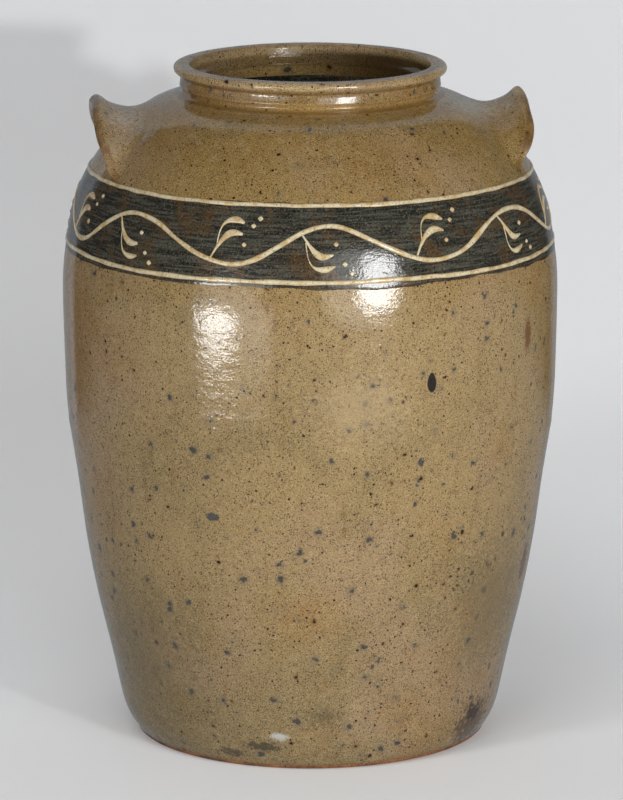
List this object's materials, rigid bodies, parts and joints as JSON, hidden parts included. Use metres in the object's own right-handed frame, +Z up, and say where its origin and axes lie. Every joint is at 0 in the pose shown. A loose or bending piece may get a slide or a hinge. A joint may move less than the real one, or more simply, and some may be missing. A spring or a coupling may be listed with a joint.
{
  "type": "stoneware storage jar",
  "caption": "Large wide-mouthed glazed stoneware storage jar, swelling from a narrow foot to a high shoulder, with a low neck, rolled rim and a pair of lug handles on the shoulder.",
  "frame": {"origin": "centre of the foot, on the surface that the jar stands on", "axes": "+Z up along the jar's axis; the two handles lie on the X axis, the left one at -X"},
  "size_m": [0.3328, 0.3328, 0.455],
  "materials": {
    "glazed_stoneware": "glossy tan to olive ash glaze over stoneware, peppered with iron specks",
    "bare_clay": "unglazed fired stoneware of the foot and of wiped edges, matt and rough",
    "dark_slip": "brushed iron slip under the glaze, brown-black with brush streaks",
    "pale_slip": "trailed white slip lines under the glaze, slightly raised, cream coloured"
  },
  "bodies": {
    "root": {"lower_section": "glazed_stoneware", "upper_section": "glazed_stoneware", "neck_and_rim": "glazed_stoneware", "left_handle": "glazed_stoneware", "right_handle": "glazed_stoneware"}
  },
  "joints": []
}
